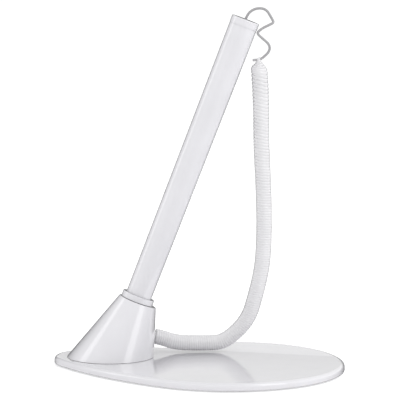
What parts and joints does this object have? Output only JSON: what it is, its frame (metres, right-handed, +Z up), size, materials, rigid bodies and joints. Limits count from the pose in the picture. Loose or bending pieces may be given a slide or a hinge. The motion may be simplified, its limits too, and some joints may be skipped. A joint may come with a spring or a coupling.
{
  "type": "counter pen with weighted base and coiled tether",
  "caption": "White counter pen standing in a slanted swivelling cone on a weighted drop-shaped base, tied to the cone by a coiled plastic tether.",
  "frame": {"origin": "middle of the adhesive pad's underside, on the counter", "axes": "+Z up; +X along the drop-shaped base from its narrow end, where the holder stands, to its wide end"},
  "size_m": [0.109, 0.0848, 0.1323],
  "materials": {
    "white_shell": "glossy",
    "tether_plastic": "semi-gloss",
    "lead_wire": "semi-gloss",
    "hidden_plastic": "satin",
    "weight_steel": "satin",
    "nose_metal": "polished",
    "refill_brass": "satin",
    "refill_plastic": "semi-gloss",
    "pad_foam": "matte"
  },
  "bodies": {
    "base": {"base_shell": "white_shell", "base_cover": "hidden_plastic", "ballast_plate": "weight_steel", "adhesive_pad": "pad_foam"},
    "holder": {"cone_shell": "white_shell", "swivel_hub": "hidden_plastic", "swivel_washer": "weight_steel", "pivot_screw": "weight_steel", "socket_sleeve": "hidden_plastic", "cord_gland": "hidden_plastic", "cord_anchor": "weight_steel", "coil_cord": "tether_plastic"},
    "tether_end": {"cord_lead": "lead_wire", "lead_ferrule": "weight_steel"},
    "pen": {"barrel": "white_shell", "end_plug": "white_shell", "plug_retainer": "hidden_plastic", "collar_ring": "white_shell", "front_section": "hidden_plastic", "nose_tip": "nose_metal", "refill_tube": "refill_plastic", "refill_tip": "refill_brass", "writing_ball": "weight_steel"}
  },
  "joints": [
    {"name": "holder_swivel", "type": "hinge", "parent": "base", "child": "holder", "pos_m": [-0.0331, 0, 0], "axis": [0, 0, 1], "continuous": true},
    {"name": "pen_lift", "type": "slide", "parent": "holder", "child": "tether_end", "axis": [0.338, 0.1318, 0.9319], "range_m": [0, 0.03]},
    {"name": "pen_spin", "type": "hinge", "parent": "tether_end", "child": "pen", "pos_m": [-0.02425, 0.00345, 0.02405], "axis": [0.338, 0.1318, 0.9319], "continuous": true}
  ]
}
